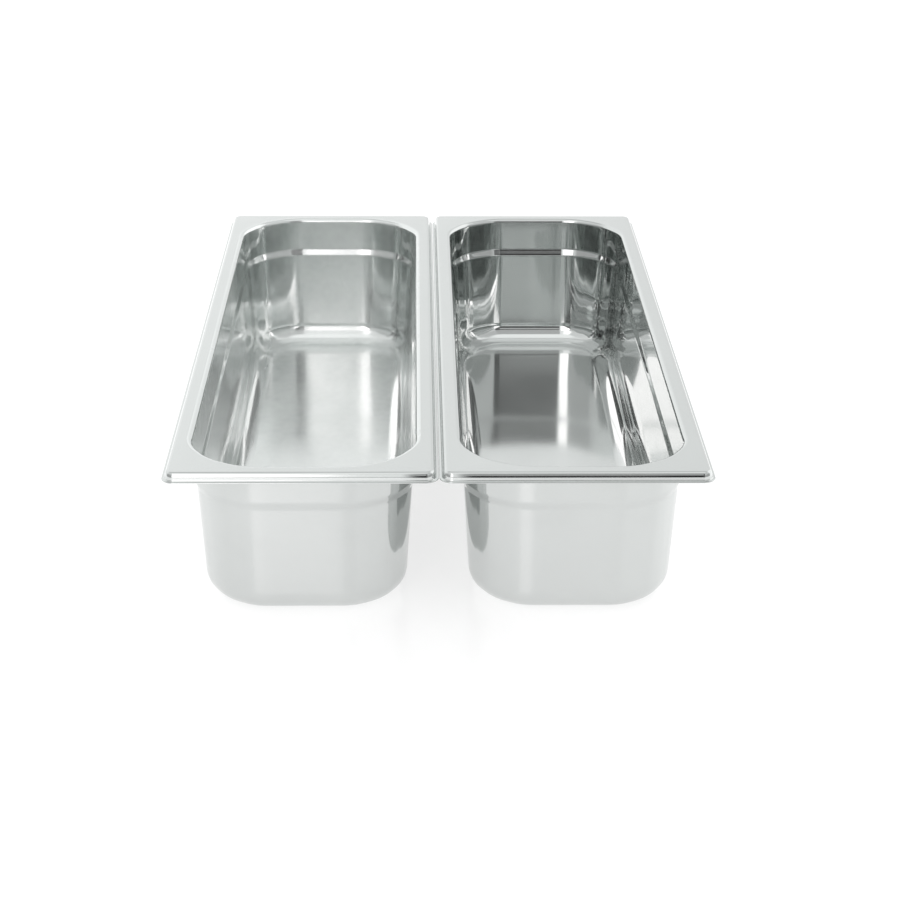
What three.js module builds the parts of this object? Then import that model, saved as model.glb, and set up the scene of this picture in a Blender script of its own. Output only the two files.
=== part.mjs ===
// Two deep food pans of the gastronorm 2/4 size, standing side by side so that
// together they fill one full-size 530 x 325 mm opening.
//
// Each pan is a single sheet of stainless steel drawn into a round-cornered
// well. Its rim is flat, and the rim's edge is pressed down and out into a
// narrow lip. A shallow shoulder runs round the well under the rim, where the
// next pan in a stack comes to rest.
//
// Millimetres, +Z up, +Y along the pans. The origin is on the surface that the
// pans stand on, midway between them.

import * as THREE from "three";

// Driving dimensions.
const PAN_LENGTH = 530;
const PAN_WIDTH = 162;
const PAN_DEPTH = 100.8; // 100 inside the well, and the sheet under it
const RIM_GAP = 0.3; // between the two rims
const SHEET = 0.8; // thickness of the steel

// The rim. Insets are measured inwards from the outer edge of the lip.
const RIM_CORNER_RADIUS = 8; // plan radius of the lip's corners
const LIP_WIDTH = 2.2; // from the lip's edge to the rim's short drop
const LIP_DROP = 6; // top of the rim to the underside of the lip
const LIP_BEND = 1.5;
const DROP_LEAN = 1.2; // the short drop leans in by this much
const RIM_BEND = 2.2;

// The well. Its walls keep one set of corner centres, so the plan radius of a
// corner shrinks as the wall moves in.
const RIM_WIDTH = 13.6; // lip's edge to the line where the well begins
const MOUTH_RADIUS = 46.2; // plan radius of the well's corners at that line
const MOUTH_BEND = 3.6;
const UPPER_WALL_TAPER = 2.5; // degrees
const SHOULDER_TOP = 24.9; // below the top of the rim
const SHOULDER_HEIGHT = 4.6;
const SHOULDER_STEP = 1.5; // how far the wall steps in
const SHOULDER_BEND = 8.0;
const LOWER_WALL_TAPER = 3.4; // degrees
const FLOOR_BEND = 15;

// How finely curves are divided.
const DEGREES_PER_BEND_STEP = 24;
const STEPS_PER_CORNER = 8;

const STEEL_SATIN = new THREE.MeshStandardMaterial({
  color: 0xd0d3d3,
  roughness: 0.32,
  metalness: 1,
});
const STEEL_BRIGHT = new THREE.MeshStandardMaterial({
  color: 0xc9cccd,
  roughness: 0.12,
  metalness: 1,
});

const leanOver = (height, degrees) => height * Math.tan(THREE.MathUtils.degToRad(degrees));

// The corners of the sheet's middle line, from the lip to the floor. x is the
// inset from the lip's edge and y the height above the underside.
function sheetCorners() {
  const rimHeight = PAN_DEPTH - SHEET / 2;
  const lipHeight = PAN_DEPTH - LIP_DROP + SHEET / 2;
  const floorHeight = SHEET / 2;
  const shoulderTop = PAN_DEPTH - SHOULDER_TOP;
  const shoulderFoot = shoulderTop - SHOULDER_HEIGHT;
  const wall = RIM_WIDTH - SHEET / 2;
  const upperWallFoot = wall + leanOver(SHOULDER_TOP, UPPER_WALL_TAPER);
  const lowerWallTop = upperWallFoot + SHOULDER_STEP;
  const lowerWallFoot = lowerWallTop + leanOver(shoulderFoot, LOWER_WALL_TAPER);
  return [
    { at: new THREE.Vector2(0, lipHeight), bend: 0 },
    { at: new THREE.Vector2(LIP_WIDTH, lipHeight), bend: LIP_BEND },
    { at: new THREE.Vector2(LIP_WIDTH + DROP_LEAN, rimHeight), bend: RIM_BEND },
    { at: new THREE.Vector2(wall, rimHeight), bend: MOUTH_BEND },
    { at: new THREE.Vector2(upperWallFoot, shoulderTop), bend: SHOULDER_BEND },
    { at: new THREE.Vector2(lowerWallTop, shoulderFoot), bend: SHOULDER_BEND },
    { at: new THREE.Vector2(lowerWallFoot, floorHeight), bend: FLOOR_BEND },
    { at: new THREE.Vector2(lowerWallFoot + 2 * FLOOR_BEND, floorHeight), bend: 0 },
  ];
}

// One bend of the middle line: points on the arc that rounds a corner, each
// with its normal, which points to the side of the sheet that faces the food.
function bendPoints(before, corner, after, radius) {
  const arriving = corner.clone().sub(before).normalize();
  const leaving = after.clone().sub(corner).normalize();
  const turn = Math.atan2(arriving.cross(leaving), arriving.dot(leaving));
  const side = Math.sign(turn);
  const tangentLength = radius * Math.tan(Math.abs(turn) / 2);
  const start = corner.clone().addScaledVector(arriving, -tangentLength);
  const startNormal = new THREE.Vector2(-arriving.y, arriving.x);
  const centre = start.clone().addScaledVector(startNormal, side * radius);
  const steps = Math.max(2, Math.ceil(THREE.MathUtils.radToDeg(Math.abs(turn)) / DEGREES_PER_BEND_STEP));
  const points = [];
  for (let step = 0; step <= steps; step += 1) {
    const normal = startNormal.clone().rotateAround(new THREE.Vector2(), (turn * step) / steps);
    const point = centre.clone().addScaledVector(normal, -side * radius);
    points.push({ point, normal });
  }
  return points;
}

// The whole middle line. The flat of the rim lies between two kinds of corner,
// so each point also says whether its ring belongs to the rim or to the well.
function sheetProfile() {
  const corners = sheetCorners();
  const firstNormal = new THREE.Vector2(0, 1);
  const profile = [{ point: corners[0].at, normal: firstNormal, inRim: true }];
  const lastRimCorner = 2;
  for (let index = 1; index < corners.length - 1; index += 1) {
    const { at, bend } = corners[index];
    const bends = bendPoints(corners[index - 1].at, at, corners[index + 1].at, bend);
    profile.push(...bends.map((entry) => ({ ...entry, inRim: index <= lastRimCorner })));
  }
  return profile;
}

// A round-cornered rectangle, anticlockwise seen from above, as x, y, z triples.
function ringPoints(inset, height, inRim) {
  const outerRadius = inRim ? RIM_CORNER_RADIUS : RIM_WIDTH + MOUTH_RADIUS;
  const radius = outerRadius - inset;
  const centreX = PAN_WIDTH / 2 - outerRadius;
  const centreY = PAN_LENGTH / 2 - outerRadius;
  const corners = [[1, 1], [-1, 1], [-1, -1], [1, -1]];
  const points = [];
  corners.forEach(([signX, signY], quarter) => {
    for (let step = 0; step <= STEPS_PER_CORNER; step += 1) {
      const angle = (Math.PI / 2) * (quarter + step / STEPS_PER_CORNER);
      const x = signX * centreX + radius * Math.cos(angle);
      const y = signY * centreY + radius * Math.sin(angle);
      points.push(x, y, height);
    }
  });
  return points;
}

// The closed skin of the sheet: rings up the food side from the floor to the
// lip, then back down the outside, with a flat disc closing each end.
function panGeometry() {
  const profile = sheetProfile();
  const skinPoint = ({ point, normal, inRim }, offset) => {
    const moved = point.clone().addScaledVector(normal, offset);
    return ringPoints(moved.x, moved.y, inRim);
  };
  const foodSide = profile.map((entry) => skinPoint(entry, SHEET / 2)).reverse();
  const outside = profile.map((entry) => skinPoint(entry, -SHEET / 2));
  const rings = [...foodSide, ...outside];
  const positions = rings.flat();
  const perRing = 4 * (STEPS_PER_CORNER + 1);
  const indices = [];
  for (let ring = 0; ring < rings.length - 1; ring += 1) {
    for (let step = 0; step < perRing; step += 1) {
      const next = (step + 1) % perRing;
      const a = ring * perRing + step;
      const b = ring * perRing + next;
      const c = a + perRing;
      const d = b + perRing;
      indices.push(a, c, d, a, d, b);
    }
  }
  const floorTop = positions.length / 3;
  const floorUnder = floorTop + 1;
  positions.push(0, 0, SHEET, 0, 0, 0);
  const lastRing = (rings.length - 1) * perRing;
  for (let step = 0; step < perRing; step += 1) {
    const next = (step + 1) % perRing;
    indices.push(floorTop, step, next);
    indices.push(floorUnder, lastRing + next, lastRing + step);
  }
  const geometry = new THREE.BufferGeometry();
  geometry.setAttribute("position", new THREE.Float32BufferAttribute(positions, 3));
  geometry.setIndex(indices);
  geometry.computeVertexNormals();
  return geometry;
}

function pan(name, side, material) {
  const mesh = new THREE.Mesh(panGeometry(), material);
  mesh.name = name;
  mesh.position.x = (side * (PAN_WIDTH + RIM_GAP)) / 2;
  return mesh;
}

const group = new THREE.Group();
group.add(pan("left_pan", -1, STEEL_SATIN));
group.add(pan("right_pan", 1, STEEL_BRIGHT));

export default group;
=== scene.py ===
"""Two slim stainless-steel food pans standing side by side on a pale studio floor.

Each pan is one drawn sheet. Its section is a single line, bent with a radius at
every corner, and the surface is that section carried round a round-cornered
rectangle. The CAD says where the pans are and how large; this file gives them
their fine surface, their steel, the studio and the camera. Metres, +Z up.
"""

import math

import bpy
import numpy as np
from mathutils import Matrix, Vector, noise


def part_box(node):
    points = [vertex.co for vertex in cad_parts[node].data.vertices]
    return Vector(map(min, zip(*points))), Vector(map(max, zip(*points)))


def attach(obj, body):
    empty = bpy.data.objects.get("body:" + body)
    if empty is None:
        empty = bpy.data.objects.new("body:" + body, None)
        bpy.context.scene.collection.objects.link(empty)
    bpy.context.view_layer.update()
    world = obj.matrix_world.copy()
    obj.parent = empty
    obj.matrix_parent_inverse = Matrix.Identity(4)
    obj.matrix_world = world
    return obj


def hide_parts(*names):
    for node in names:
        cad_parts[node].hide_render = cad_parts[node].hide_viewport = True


MM = 0.001

# The pan's section, in millimetres, as in the CAD but with finer bends. Insets
# run inwards from the lip's outer edge, and heights are above the underside.
SHEET = 0.8
RIM_CORNER_RADIUS = 8
LIP_WIDTH = 2.2
LIP_DROP = 6
LIP_BEND = 1.25
DROP_LEAN = 1.2
DROP_CORNER = (0.09, 2.6)  # how far the short drop leans in, and rises, before it curves in to the rim
DROP_BEND = 5.5
RIM_BEND = 1.9
RIM_WIDTH = 13.6
MOUTH_RADIUS = 46.2
MOUTH_BEND = 2.6
UPPER_WALL_TAPER = 2.5  # degrees
SHOULDER_TOP = 24.9
SHOULDER_HEIGHT = 4.6
SHOULDER_STEP = 1.5
SHOULDER_BEND = 8.0
LOWER_WALL_TAPER = 3.4
FLOOR_BEND = 15
LAST_RIM_CORNER = 3  # of the section. The corners after it belong to the well

# The well's upright corners are three bends with a narrow flat between each two.
CORNER_BENDS = 3
CORNER_BEND_RADIUS = 0.82  # as a share of the corner's radius
CORNER_FLAT_DISTANCE = 0.999  # of a flat from the corner's centre, as a share of its radius

# How finely the surface is divided.
BEND_STEP = math.radians(6)
LEAST_BEND_STEPS = 4
FLAT_STEP = 6.0  # millimetres between rings on a wall
EDGE_STEP = 0.3  # millimetres from a bend to the ring that holds a flat straight
CORNER_BEND_STEPS = 8
CORNER_FLAT_STEPS = 3
CORNER_STEPS = CORNER_BENDS * CORNER_BEND_STEPS + (CORNER_BENDS - 1) * CORNER_FLAT_STEPS
END_STEPS = 10
SIDE_STEPS = 44
LIP_EDGE_STEPS = 4

# How far the sheet strays from true, in millimetres. The floor is crowned, and
# the walls wander between the rim and the floor's bend.
WAVE_LENGTH = 70.0
WALL_WAVE = 0.05
WAVE_STARTS = (12, 27)  # below the top of the rim: from no wander to all of it
WAVE_ENDS = (20, 35)  # above the underside: from no wander to all of it
FLOOR_RISE = 0.16
FLOOR_WAVE = 0.6  # how much the crown varies, as a share of it
CROWN_STARTS = (42, 60)  # inset from the pan's outline: from no crown to all of it
FLOOR_TOP = 3  # what is lower than this is floor

# The steel. Depths are in millimetres.
STEEL_TINT = (0.648, 0.665, 0.658)
SMEAR_TONE = 0.97  # how bright the smears are, as a share of the rest
HAZE_ROUGHNESS = 0.42
HAZE_ROUGHNESS_WANDER = 0.03
POLISH_WANDER = 0.2  # as a share of the polish
HAZE_WANDER = 0.25  # as a share of the haze
GRAIN_DEPTH = 0.0003
WELL_RIBS = 0.03  # depth of the draw marks in the well's corners
OUTSIDE_RIBS = 0.003
WALL_RIBS = 0.12  # of the draw marks on the flat walls, as a share of those in the corners
PLEAT_DEPTH = 2.5  # of the wide draw marks, as a multiple of the narrow ones' depth
PLEAT_EDGE = 0.2  # how far into a corner, from 0 to 1, the wide ones begin
FLOOR_GRAIN = 0.05  # how much rougher the well's floor is than its walls
FLOOR_GRAIN_FADE = (0.001, 0.012)  # the heights, in metres, between which that fades
FLANK_INSETS = (35, 25)  # the long walls' finish begins between these insets, in millimetres
FLANK_ROUGHNESS = 0.65  # of the long walls, as a share of the rest
FLANK_HAZE = 0.4
CORNER = "corner"  # the mesh attribute that is 1 in the well's upright corners
FLANK = "flank"  # the mesh attribute that is 1 on the long walls

# The noise that marks it: scale, stretch along each axis, detail and roughness.
GRAIN = (2200, (1, 0.06, 1), 2, 0.5)
PATCHES = (26, (1, 0.6, 1), 3, 0.6)
SMEARS = (9, (1, 0.35, 1.4), 4, 0.65)
RIBS = (420, (1, 1, 0.012), 2, 0.6)
PLEATS = (150, (1, 1, 0.02), 1, 0.5)
PATCH_EDGES = (0.3, 0.7)  # the noise values that count as outside a patch and inside it
SMEAR_EDGES = (0.35, 0.6)

# The shade, polish and haze of each pan's rim and of its outside.
RIM_STEEL = (1.0, 0.06, 0.07)
OUTSIDE_STEEL = (0.98, 0.12, 0.07)

# Each pan's node and slot, the shade, polish and haze of its well, and the seed
# of its wander. The left one is satin inside, and the right one bright.
PANS = [
    ("left_pan", "satin_steel", (1.18, 0.10, 0.38), 3.0),
    ("right_pan", "bright_steel", (1.01, 0.045, 0.08), 11.0),
]

# Radiance of the surroundings. The backdrop is behind the pans, towards +Y.
CAMERA_SIDE = 0.78
BACKDROP = 1.06
BACKDROP_EDGES = (-0.3, 0.5)  # the directions' y between which one turns into the other
SIDE_FALL = 0.1  # how much brighter the left is than the middle, and darker the right
SIDE_EDGE = 0.2  # the direction's x where that is reached
WALL_LIGHT = (0.988, 1.0, 0.998)
BOX_LIGHT = (1.05, 1.0, 1.01)
BOX_LEVELS = (1.2, 2.2)  # radiance between which wall light turns into the soft box's

# Each patch is left, right, low, high, its two soft edges, all in degrees from
# the camera's side, and its brightness. A later one lies over an earlier one.
STUDIO_PATCHES = [
    (90, 150, -5, 60, 8, 6, 1.35),
    (32, 88, -12, 20, 4, 3, 0.5),
    (-92, -34, -12, 20, 4, 3, 0.5),
    (27, 80, 20, 36, 3, 3, 0.84),
    (-80, -27, 20, 36, 3, 3, 0.74),
    (-180, 180, 62, 95, 1, 6, 1.1),
    (-70, 70, 62, 84, 8, 3, 1.25),
    (100, 190, 50, 88, 10, 8, 0.7),
    (-190, -100, 50, 88, 10, 8, 0.7),
    (-38, -10, 37, 61, 5, 3, 1.7),
    (-10, 1, 37, 61, 5, 3, 1.15),
    (1, 27, 33, 61, 1.5, 3, 0.56),
    (-3, 0.5, 9, 36, 1.0, 2, 1.15),
    (-27, -3, 9, 36, 1.5, 2, 2.6),
    (0.5, 12, -8, 20, 1.0, 3, 0.03),
    (12, 27, -8, 20, 2.0, 3, 0.14),
    (0.5, 27, 20, 33, 1.0, 2, 0.14),
    (0.5, 12, 21, 27.2, 1.0, 1.2, 0.6),
]

# The studio's floor. It glows a little, so that it stays white.
FLOOR_GLOW = 0.7
FLOOR_TONE = 0.4
FLOOR_ROUGHNESS = 0.25
FLOOR_SIZE = 60.0
FLOOR_DROP = 0.0001  # keeps the floor clear of the undersides that rest on it

# The camera: where its lens is, in metres, and how it is turned, in degrees.
CAMERA_PLACE = (-0.0139, -1.3794, 0.5853)
CAMERA_DOWN = 23.0445
CAMERA_RIGHT = 1.268
CAMERA_ROLL = 0.4262
CAMERA_LENS = 82.302
CAMERA_SENSOR = 36.0
CAMERA_REACH = 50


# ---------------------------------------------------------------- the sheet


def ramp(value, start, end):
    """0 at start and beyond, 1 at end and beyond, straight between."""
    return np.clip((value - start) / (end - start), 0, 1)


def section_corners(depth):
    """The corners of the sheet's middle line: inset, height and bend radius, from the lip to the floor."""
    rim = depth - SHEET / 2
    lip = depth - LIP_DROP + SHEET / 2
    shoulder_top = depth - SHOULDER_TOP
    shoulder_foot = shoulder_top - SHOULDER_HEIGHT
    wall = RIM_WIDTH - SHEET / 2
    upper_foot = wall + SHOULDER_TOP * math.tan(math.radians(UPPER_WALL_TAPER))
    lower_top = upper_foot + SHOULDER_STEP
    lower_foot = lower_top + shoulder_foot * math.tan(math.radians(LOWER_WALL_TAPER))
    return [
        (SHEET / 2, lip, 0),
        (LIP_WIDTH, lip, LIP_BEND),
        (LIP_WIDTH + DROP_CORNER[0], lip + DROP_CORNER[1], DROP_BEND),
        (LIP_WIDTH + DROP_LEAN, rim, RIM_BEND),
        (wall, rim, MOUTH_BEND),
        (upper_foot, shoulder_top, SHOULDER_BEND),
        (lower_top, shoulder_foot, SHOULDER_BEND),
        (lower_foot, SHEET / 2, FLOOR_BEND),
        (lower_foot + 2 * FLOOR_BEND, SHEET / 2, 0),
    ]


def bend_points(before, corner, after, radius):
    """Points round one bend, each with the normal that faces the food."""
    arriving = (corner - before) / np.linalg.norm(corner - before)
    leaving = (after - corner) / np.linalg.norm(after - corner)
    turn = math.atan2(arriving[0] * leaving[1] - arriving[1] * leaving[0], arriving @ leaving)
    side = math.copysign(1, turn)
    start = corner - arriving * radius * math.tan(abs(turn) / 2)
    first = np.array([-arriving[1], arriving[0]])
    centre = start + first * side * radius
    steps = max(LEAST_BEND_STEPS, math.ceil(abs(turn) / BEND_STEP))
    points = []
    for step in range(steps + 1):
        angle = turn * step / steps
        cos, sin = math.cos(angle), math.sin(angle)
        normal = np.array([first[0] * cos - first[1] * sin, first[0] * sin + first[1] * cos])
        points.append((centre - normal * side * radius, normal))
    return points


def straight_points(start, end, normal):
    """Points between two bends: one close to each bend, and an even run between."""
    length = np.linalg.norm(end - start)
    if length < 3 * EDGE_STEP:
        return []
    run = max(1, round(length / FLAT_STEP))
    places = [EDGE_STEP / length, *(step / run for step in range(1, run)), 1 - EDGE_STEP / length]
    return [(start + (end - start) * place, normal) for place in places]


def sheet_section(depth):
    """The whole middle line as (point, normal, in_rim) from the lip's edge to the flat of the floor."""
    corners = section_corners(depth)
    places = [np.array(corner[:2], float) for corner in corners]
    line = [(places[0], np.array([0.0, 1.0]), True)]
    for index in range(1, len(corners) - 1):
        bend = bend_points(*places[index - 1 : index + 2], corners[index][2])
        straight = straight_points(line[-1][0], bend[0][0], bend[0][1])
        line += [(*entry, index <= LAST_RIM_CORNER) for entry in straight + bend]
    return line


def plain_corner():
    """A quarter circle of radius 1 about the origin, from +X to +Y."""
    sweep = np.linspace(0, math.pi / 2, CORNER_STEPS + 1)
    return np.column_stack([np.cos(sweep), np.sin(sweep)])


def benched_corner():
    """The same quarter turn made of bends with flats between, each flat a little nearer than the walls."""
    turn = math.pi / 2 / CORNER_BENDS
    distances = [1, *[CORNER_FLAT_DISTANCE] * (CORNER_BENDS - 1), 1]
    points = []
    for bend in range(CORNER_BENDS):
        before = bend * turn
        along = (distances[bend + 1] - distances[bend] * math.cos(turn)) / math.sin(turn)
        cos, sin = math.cos(before), math.sin(before)
        vertex = np.array([distances[bend] * cos - along * sin, distances[bend] * sin + along * cos])
        middle = before + turn / 2
        outward = np.array([math.cos(middle), math.sin(middle)])
        centre = vertex - outward * CORNER_BEND_RADIUS / math.cos(turn / 2)
        arc = []
        for step in range(CORNER_BEND_STEPS + 1):
            angle = before + turn * step / CORNER_BEND_STEPS
            arc.append(centre + np.array([math.cos(angle), math.sin(angle)]) * CORNER_BEND_RADIUS)
        if points:
            start, flat = points[-1], arc[0] - points[-1]
            points += [start + flat * step / CORNER_FLAT_STEPS for step in range(1, CORNER_FLAT_STEPS)]
        points += arc
    return np.array(points)


RIM_CORNER = plain_corner()
WELL_CORNER = benched_corner()


def ring(inset, height, in_rim, width, length):
    """A round-cornered rectangle, anticlockwise from above, as an array of points."""
    outer = RIM_CORNER_RADIUS if in_rim else RIM_WIDTH + MOUTH_RADIUS
    corner = (RIM_CORNER if in_rim else WELL_CORNER) * (outer - inset)
    corner_x, corner_y = width / 2 - outer, length / 2 - outer
    signs = [(1, 1), (-1, 1), (-1, -1), (1, -1)]
    turns = [(1, 0), (0, 1), (-1, 0), (0, -1)]
    arcs = []
    for (sign_x, sign_y), (cos, sin) in zip(signs, turns):
        x = sign_x * corner_x + corner[:, 0] * cos - corner[:, 1] * sin
        y = sign_y * corner_y + corner[:, 0] * sin + corner[:, 1] * cos
        arcs.append(np.column_stack([x, y]))
    points = []
    for quarter, arc in enumerate(arcs):
        steps = END_STEPS if quarter % 2 == 0 else SIDE_STEPS
        start, stop = arc[-1], arcs[(quarter + 1) % 4][0]
        points += [*arc, *(start + (stop - start) * step / steps for step in range(1, steps))]
    flat = np.array(points)
    return np.column_stack([flat, np.full(len(flat), height)])


def pan_rings(width, length, depth):
    """The rings of the pan's skin, up the food side, round the lip's edge, down the outside, and their zones."""
    section = sheet_section(depth)
    rings, zones = [], []

    def add(point, in_rim, zone):
        rings.append(ring(*point, in_rim, width, length))
        zones.append(zone)

    for point, normal, in_rim in reversed(section):
        on_flat = point[0] < RIM_WIDTH - MOUTH_BEND - SHEET and point[1] > depth - SHEET
        add(point + normal * SHEET / 2, in_rim, "rim" if in_rim or on_flat else "well")
    lip_place = section[0][0]
    for angle in np.linspace(0, math.pi, LIP_EDGE_STEPS + 2)[1:-1]:
        outward = np.array([-math.sin(angle), math.cos(angle)])
        add(lip_place + outward * SHEET / 2, True, "rim")
    for point, normal, in_rim in section:
        add(point - normal * SHEET / 2, in_rim, "outside")
    return rings, zones


def floor_rows():
    """A ring's points by index: its back row, the pairs that face each other across it, its front row."""
    corner, end, side = CORNER_STEPS + 1, END_STEPS - 1, SIDE_STEPS - 1
    back_right = 0
    back = back_right + corner
    back_left = back + end
    left = back_left + corner
    front_left = left + side
    front = front_left + corner
    front_right = front + end
    right = front_right + corner
    first = [back_left, *range(back + end - 1, back - 1, -1), back_right + CORNER_STEPS]
    last = [front_left + CORNER_STEPS, *range(front, front + end), front_right]
    pairs = [(back_left + step, back_right + CORNER_STEPS - step) for step in range(1, corner)]
    pairs += [(left + step, right + side - 1 - step) for step in range(side)]
    pairs += [(front_left + step, front_right + CORNER_STEPS - step) for step in range(CORNER_STEPS)]
    return first, pairs, last


def floor_grid(points, ring_start):
    """A grid inside the ring that begins at ring_start: its new points, and its quads facing up."""
    first, pairs, last = floor_rows()
    added = []
    rows = [[ring_start + index for index in first]]
    for left, right in pairs:
        start, stop = points[ring_start + left], points[ring_start + right]
        new = len(points) + len(added)
        added += [start + (stop - start) * step / END_STEPS for step in range(1, END_STEPS)]
        rows.append([ring_start + left, *range(new, new + END_STEPS - 1), ring_start + right])
    rows.append([ring_start + index for index in last])
    quads = []
    for upper, lower in zip(rows, rows[1:]):
        quads += [(lower[k], lower[k + 1], upper[k + 1], upper[k]) for k in range(END_STEPS)]
    return added, quads


def pan_skin(size):
    """The pan's closed skin about its centre, in millimetres: its points, its quads, and each quad's zone."""
    rings, zones = pan_rings(size.x, size.y, size.z)
    per_ring = len(rings[0])
    points = [point for outline in rings for point in outline]
    faces, face_zones = [], []
    for index in range(len(rings) - 1):
        zone = zones[index] if zones[index] == zones[index + 1] else "rim"
        for step in range(per_ring):
            a = index * per_ring + step
            b = index * per_ring + (step + 1) % per_ring
            faces.append((a, a + per_ring, b + per_ring, b))
            face_zones.append(zone)
    for ring_start, zone in ((0, "well"), ((len(rings) - 1) * per_ring, "outside")):
        added, quads = floor_grid(points, ring_start)
        points += added
        faces += quads if zone == "well" else [quad[::-1] for quad in quads]
        face_zones += [zone] * len(quads)
    return np.array(points), faces, face_zones


def wave(point, seed):
    """A slow, smooth wander between -1 and 1."""
    return noise.noise(Vector(point) / WAVE_LENGTH + Vector((seed, 0, 0)))


def strayed(points, size, seed):
    """The sheet as it comes from the press: walls and floor wander slightly, the rim and outer box don't."""
    heights = points[:, 2]
    insets = np.minimum(size.x / 2 - np.abs(points[:, 0]), size.y / 2 - np.abs(points[:, 1]))
    crowns = FLOOR_RISE * ramp(insets, *CROWN_STARTS)
    wanders = WALL_WAVE * ramp(size.z - heights, *WAVE_STARTS) * ramp(heights, *WAVE_ENDS)
    moved = points.copy()
    for index, (x, y, z) in enumerate(points):
        if z < FLOOR_TOP:
            moved[index, 2] += crowns[index] * (1 + FLOOR_WAVE * wave((x, y, 0), seed))
        elif wanders[index] > 0:
            away = np.array([x, y * size.x / size.y, 0])
            away /= max(np.linalg.norm(away), 1)
            moved[index] += away * wanders[index] * wave((x, y, z), seed)
    return moved


def cornerness(points, size):
    """1 in the middle of the well's upright corners, 0 along its flat walls, smooth between."""
    centre_inset = RIM_WIDTH + MOUTH_RADIUS
    across = ramp(size.x / 2 - np.abs(points[:, 0]), centre_inset, RIM_WIDTH)
    along = ramp(size.y / 2 - np.abs(points[:, 1]), centre_inset, RIM_WIDTH)
    return np.minimum(1, 4 * across * along)


def flankness(points, size):
    """1 on the two long walls, 0 on the floor and the end walls."""
    return ramp(size.x / 2 - np.abs(points[:, 0]), *FLANK_INSETS)


def build_pan_mesh(name, low, high, seed):
    """A mesh for one pan that fills the CAD's box."""
    centre = (low + high) / 2
    size = (high - low) / MM
    points, faces, face_zones = pan_skin(size)
    points = strayed(points, size, seed)
    mesh = bpy.data.meshes.new(name)
    placed = points * MM + np.array([centre.x, centre.y, low.z])
    mesh.from_pydata(placed.tolist(), [], faces)
    mesh.polygons.foreach_set("use_smooth", [True] * len(faces))
    slot_of = {"rim": 0, "well": 1, "outside": 2}
    mesh.polygons.foreach_set("material_index", [slot_of[zone] for zone in face_zones])
    for attribute, values in ((CORNER, cornerness(points, size)), (FLANK, flankness(points, size))):
        data = mesh.attributes.new(attribute, "FLOAT", "POINT").data
        data.foreach_set("value", values.astype(np.float32))
    mesh.update()
    return mesh


# ------------------------------------------------------------- the materials


class Nodes:
    """A short way to write a node tree."""

    def __init__(self, tree):
        self.tree = tree
        self.tree.nodes.clear()

    def add(self, kind, **settings):
        node = self.tree.nodes.new(kind)
        for key, value in settings.items():
            setattr(node, key, value)
        return node

    def link(self, start, end):
        self.tree.links.new(start, end)

    def feed(self, socket, value):
        if isinstance(value, bpy.types.NodeSocket):
            self.link(value, socket)
        else:
            socket.default_value = value

    def math(self, operation, first, second=0.0):
        node = self.add("ShaderNodeMath", operation=operation)
        for socket, value in zip(node.inputs, (first, second)):
            self.feed(socket, value)
        return node.outputs[0]

    def spread(self, value, low, high, to_low, to_high, smooth=False):
        """value, from low..high, as a number from to_low..to_high, held at the ends."""
        node = self.add("ShaderNodeMapRange", interpolation_type="SMOOTHSTEP" if smooth else "LINEAR")
        for socket, given in zip(node.inputs, (value, low, high, to_low, to_high)):
            self.feed(socket, given)
        return node.outputs[0]

    def mix_colour(self, first, second, amount):
        node = self.add("ShaderNodeMix", data_type="RGBA")
        node.inputs["A"].default_value = (*first, 1)
        node.inputs["B"].default_value = (*second, 1)
        self.link(amount, node.inputs["Factor"])
        return node.outputs["Result"]

    def attribute(self, name):
        return self.add("ShaderNodeAttribute", attribute_name=name).outputs["Fac"]

    def noise(self, place, scale, stretch, detail, roughness):
        mapping = self.add("ShaderNodeMapping")
        mapping.inputs["Scale"].default_value = stretch
        self.link(place, mapping.inputs["Vector"])
        texture = self.add("ShaderNodeTexNoise")
        texture.inputs["Scale"].default_value = scale
        texture.inputs["Detail"].default_value = detail
        texture.inputs["Roughness"].default_value = roughness
        self.link(mapping.outputs[0], texture.inputs["Vector"])
        return texture.outputs[0]

    def bump(self, height, depth, below=None):
        """A normal for a relief so many millimetres deep, on top of the one below."""
        node = self.add("ShaderNodeBump")
        node.inputs["Strength"].default_value = 1.0
        node.inputs["Distance"].default_value = depth * MM
        self.link(height, node.inputs["Height"])
        if below:
            self.link(below, node.inputs["Normal"])
        return node.outputs[0]


def steel_relief(nodes, place, rib_depth):
    """The normal of fine drawn grain, and of upright draw marks that are deepest in the corners."""
    corner = nodes.attribute(CORNER)
    off_flank = nodes.spread(nodes.attribute(FLANK), 0, 1, 1, 0)
    grain = nodes.math("MULTIPLY", nodes.noise(place, *GRAIN), off_flank)
    ribs = nodes.math("MULTIPLY", nodes.noise(place, *RIBS), nodes.spread(corner, 0, 1, WALL_RIBS, 1))
    pleats = nodes.math("MULTIPLY", nodes.noise(place, *PLEATS), nodes.spread(corner, PLEAT_EDGE, 1, 0, 1))
    grained = nodes.bump(grain, GRAIN_DEPTH)
    ribbed = nodes.bump(ribs, rib_depth, grained)
    return nodes.bump(pleats, rib_depth * PLEAT_DEPTH, ribbed)


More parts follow.
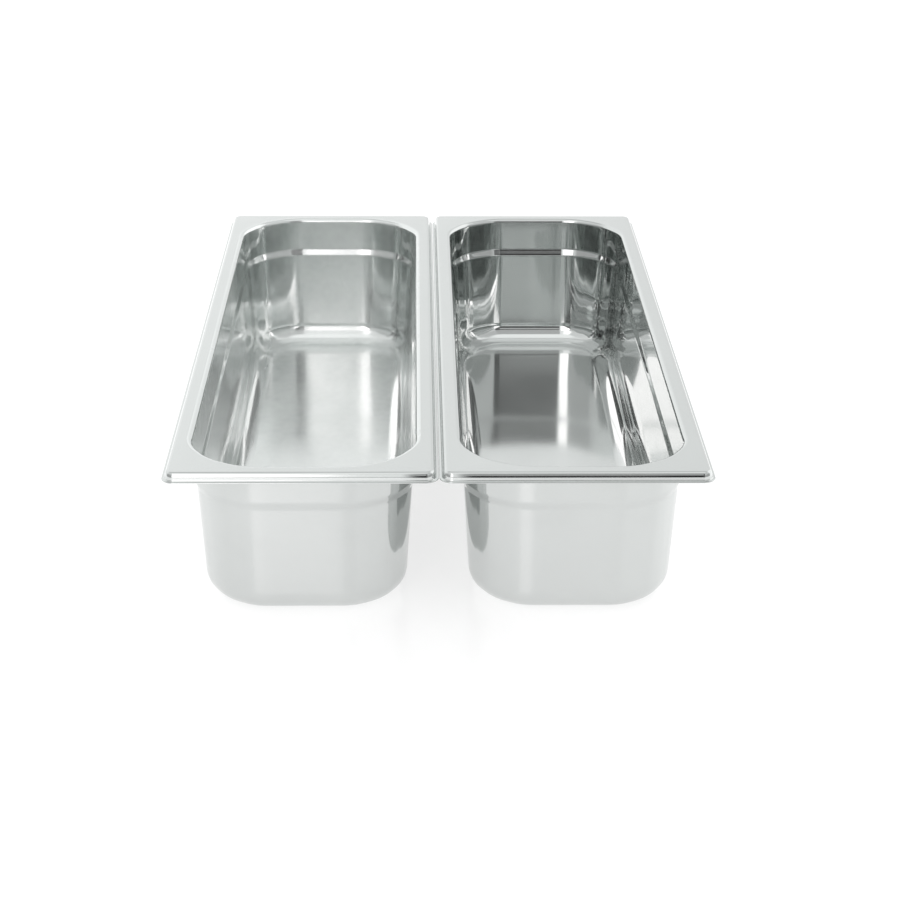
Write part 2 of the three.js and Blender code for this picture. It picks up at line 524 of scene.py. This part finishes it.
def steel(name, shade, polish, haze, rib_depth, floor_grain=0.0):
    """Stainless steel. shade scales its reflectance, polish is the roughness of its sharp reflection, and
    haze the share of a broad one. Both wander in soft patches."""
    material = bpy.data.materials.new(name)
    material.use_nodes = True
    nodes = Nodes(material.node_tree)
    place = nodes.add("ShaderNodeTexCoord").outputs["Object"]
    patches = nodes.noise(place, *PATCHES)
    flank = nodes.attribute(FLANK)
    normal = steel_relief(nodes, place, rib_depth)

    clean = [channel * shade for channel in STEEL_TINT]
    smeared = [channel * SMEAR_TONE for channel in clean]
    cleanness = nodes.spread(nodes.noise(place, *SMEARS), *SMEAR_EDGES, 0, 1, smooth=True)
    tint = nodes.mix_colour(smeared, clean, cleanness)

    parts = nodes.add("ShaderNodeSeparateXYZ")
    nodes.link(place, parts.inputs[0])
    floor_roughness = nodes.spread(parts.outputs[2], *FLOOR_GRAIN_FADE, floor_grain, 0, smooth=True)

    def lobe(roughness, wander):
        shader = nodes.add("ShaderNodeBsdfPrincipled")
        shader.inputs["Metallic"].default_value = 1.0
        nodes.link(tint, shader.inputs["Base Color"])
        patchy = nodes.spread(patches, *PATCH_EDGES, roughness - wander, roughness + wander)
        on_walls = nodes.math("MULTIPLY", patchy, nodes.spread(flank, 0, 1, 1, FLANK_ROUGHNESS))
        nodes.link(nodes.math("ADD", on_walls, floor_roughness), shader.inputs["Roughness"])
        nodes.link(normal, shader.inputs["Normal"])
        return shader.outputs[0]

    patchy_haze = nodes.spread(patches, *PATCH_EDGES, haze * (1 - HAZE_WANDER), haze * (1 + HAZE_WANDER))
    haze_share = nodes.math("MULTIPLY", patchy_haze, nodes.spread(flank, 0, 1, 1, FLANK_HAZE))
    blend = nodes.add("ShaderNodeMixShader")
    nodes.link(haze_share, blend.inputs[0])
    nodes.link(lobe(polish, polish * POLISH_WANDER), blend.inputs[1])
    nodes.link(lobe(HAZE_ROUGHNESS, HAZE_ROUGHNESS_WANDER), blend.inputs[2])
    output = nodes.add("ShaderNodeOutputMaterial")
    nodes.link(blend.outputs[0], output.inputs["Surface"])
    return material


def pan_materials(name, finish):
    """The steel of a pan's rim, well and outside, in the order of the mesh's slots."""
    rim = steel(f"{name}_rim", *RIM_STEEL, 0.0)
    well = steel(f"{name}_well", *finish, WELL_RIBS, FLOOR_GRAIN)
    outside = steel(f"{name}_outside", *OUTSIDE_STEEL, OUTSIDE_RIBS)
    return [rim, well, outside]


# ---------------------------------------------------------------- the studio


def studio_world():
    """Soft surroundings: a white backdrop behind the pans, grey walls and soft boxes on the camera's side."""
    world = bpy.data.worlds.new("studio")
    bpy.context.scene.world = world
    world.use_nodes = True
    nodes = Nodes(world.node_tree)
    direction = nodes.add("ShaderNodeTexCoord").outputs["Generated"]
    parts = nodes.add("ShaderNodeSeparateXYZ")
    nodes.link(direction, parts.inputs[0])
    x, y, z = parts.outputs
    to_degrees = 180 / math.pi
    towards_camera = nodes.math("MULTIPLY", y, -1.0)
    azimuth = nodes.math("MULTIPLY", nodes.math("ARCTAN2", x, towards_camera), to_degrees)
    height = nodes.math("MULTIPLY", nodes.math("ARCSINE", z), to_degrees)

    def window(angle, low, high, soft):
        """1 between two angles, in degrees, with soft edges."""
        rise = nodes.spread(angle, low - soft, low + soft, 0, 1, smooth=True)
        fall = nodes.spread(angle, high - soft, high + soft, 1, 0, smooth=True)
        return nodes.math("MULTIPLY", rise, fall)

    level = nodes.spread(y, *BACKDROP_EDGES, CAMERA_SIDE, BACKDROP, smooth=True)
    level = nodes.math("ADD", level, nodes.spread(x, -SIDE_EDGE, SIDE_EDGE, SIDE_FALL, -SIDE_FALL))
    for left, right, low, high, soft_x, soft_y, brightness in STUDIO_PATCHES:
        across, upright = window(azimuth, left, right, soft_x), window(height, low, high, soft_y)
        inside = nodes.math("MULTIPLY", across, upright)
        change = nodes.math("MULTIPLY", nodes.math("SUBTRACT", brightness, level), inside)
        level = nodes.math("ADD", level, change)
    background = nodes.add("ShaderNodeBackground")
    light = nodes.mix_colour(WALL_LIGHT, BOX_LIGHT, nodes.spread(level, *BOX_LEVELS, 0, 1))
    nodes.link(light, background.inputs["Color"])
    nodes.link(level, background.inputs["Strength"])
    output = nodes.add("ShaderNodeOutputWorld")
    nodes.link(background.outputs[0], output.inputs["Surface"])


def studio_floor():
    floor_mesh = bpy.data.meshes.new("studio_floor")
    half = FLOOR_SIZE / 2
    outline = [(-half, -half), (half, -half), (half, half), (-half, half)]
    corners = [(x, y, -FLOOR_DROP) for x, y in outline]
    floor_mesh.from_pydata(corners, [], [(0, 1, 2, 3)])
    floor = bpy.data.objects.new("studio_floor", floor_mesh)
    bpy.context.scene.collection.objects.link(floor)
    material = bpy.data.materials.new("studio_floor")
    material.use_nodes = True
    shader = material.node_tree.nodes["Principled BSDF"]
    shader.inputs["Base Color"].default_value = (FLOOR_TONE, FLOOR_TONE, FLOOR_TONE, 1)
    shader.inputs["Roughness"].default_value = FLOOR_ROUGHNESS
    shader.inputs["Emission Color"].default_value = (1, 1, 1, 1)
    shader.inputs["Emission Strength"].default_value = FLOOR_GLOW
    floor_mesh.materials.append(material)


def camera():
    data = bpy.data.cameras.new("camera")
    data.lens = CAMERA_LENS
    data.sensor_width = CAMERA_SENSOR
    data.clip_end = CAMERA_REACH
    eye = bpy.data.objects.new("camera", data)
    down, right, roll = (math.radians(angle) for angle in (CAMERA_DOWN, CAMERA_RIGHT, CAMERA_ROLL))
    turn = Matrix.Rotation(-right, 4, "Z") @ Matrix.Rotation(math.pi / 2 - down, 4, "X")
    eye.matrix_world = Matrix.Translation(CAMERA_PLACE) @ turn @ Matrix.Rotation(roll, 4, "Z")
    bpy.context.scene.collection.objects.link(eye)
    bpy.context.scene.camera = eye


# ------------------------------------------------------------------ the scene


def add_pan(node, finish, seed):
    """The fine sheet that stands for one CAD pan."""
    mesh = build_pan_mesh(f"{node}_sheet", *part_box(node), seed)
    for material in pan_materials(node, finish):
        mesh.materials.append(material)
    piece = bpy.data.objects.new(f"{node}_sheet", mesh)
    bpy.context.scene.collection.objects.link(piece)
    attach(piece, node)
    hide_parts(node)


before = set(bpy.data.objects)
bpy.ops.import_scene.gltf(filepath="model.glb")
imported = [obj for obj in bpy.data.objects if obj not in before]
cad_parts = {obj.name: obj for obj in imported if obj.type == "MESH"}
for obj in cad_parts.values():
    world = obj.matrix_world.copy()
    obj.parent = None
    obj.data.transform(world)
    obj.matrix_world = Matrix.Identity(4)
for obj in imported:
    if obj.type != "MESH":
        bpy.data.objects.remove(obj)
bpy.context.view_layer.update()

for node, slot, finish, seed in PANS:
    add_pan(node, finish, seed)

studio_world()
studio_floor()
camera()
scene = bpy.context.scene
scene.view_settings.view_transform = "Standard"
scene.cycles.glossy_bounces = 10
